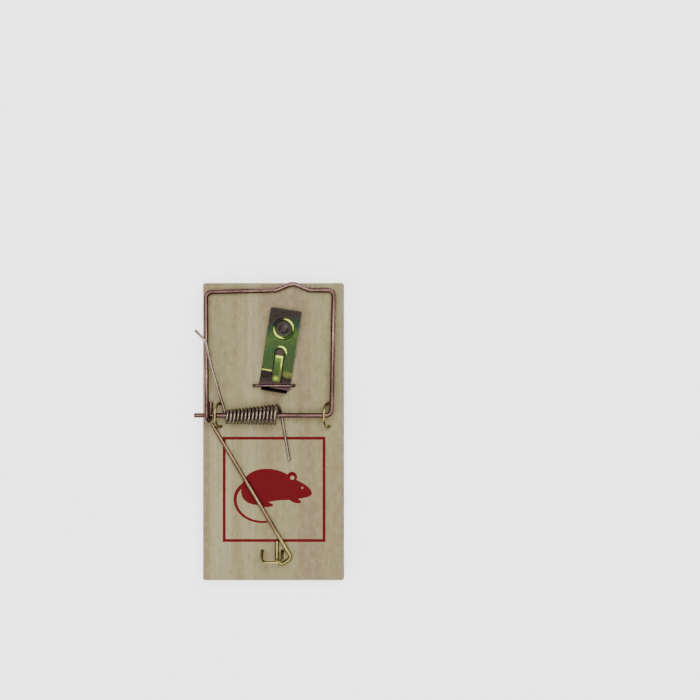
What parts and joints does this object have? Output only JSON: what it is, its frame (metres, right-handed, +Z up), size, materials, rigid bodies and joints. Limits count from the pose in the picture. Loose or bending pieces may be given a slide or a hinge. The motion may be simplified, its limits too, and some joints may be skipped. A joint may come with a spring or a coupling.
{
  "type": "snap mouse trap",
  "caption": "Wooden snap trap: a sprung wire bow swings over a flat board that carries a rocking bait pedal, a locking rod and bent wire staples.",
  "frame": {"origin": "centre of the board's underside", "axes": "+Y along the board towards the bait end, where the striking bar rests; +X to the right, seen from above; +Z up, out of the board's face"},
  "size_m": [0.0493, 0.0984, 0.0132],
  "materials": {
    "wood_board": "sawn and sanded, bare, with a dark red printed outline",
    "plated_bow_wire": "drawn steel wire with a thin coppery plating",
    "spring_steel": "bare drawn spring wire",
    "staple_wire": "drawn steel wire with yellow zinc plating",
    "zinc_pedal_plate": "stamped sheet steel with iridescent yellow zinc passivation",
    "plated_rod_wire": "drawn steel wire with a thin brassy plating"
  },
  "bodies": {
    "base": {"base_board": "wood_board", "torsion_spring": "spring_steel", "left_axle_staple": "staple_wire", "right_axle_staple": "staple_wire", "pedal_staple": "staple_wire", "rod_staple": "staple_wire"},
    "hammer": {"hammer_bow": "plated_bow_wire"},
    "pedal": {"bait_pedal": "zinc_pedal_plate"},
    "rod": {"locking_rod": "plated_rod_wire"}
  },
  "joints": [
    {"name": "hammer_swing", "type": "hinge", "parent": "base", "child": "hammer", "pos_m": [0, 0.00547, 0.0086], "axis": [1, 0, 0], "range_deg": [0, 182], "stiffness_Nm_per_rad": 0.037, "springref_deg": -85.94, "deforming": ["torsion_spring"]},
    {"name": "pedal_tilt", "type": "hinge", "parent": "base", "child": "pedal", "pos_m": [0.0005, 0.01517, 0.00768], "axis": [1, 0, 0], "range_deg": [0, 16]},
    {"name": "rod_lift", "type": "hinge", "parent": "base", "child": "rod", "pos_m": [0.0061, -0.0416, 0.0067], "axis": [0.859, 0.512, 0], "range_deg": [0, 40]}
  ]
}
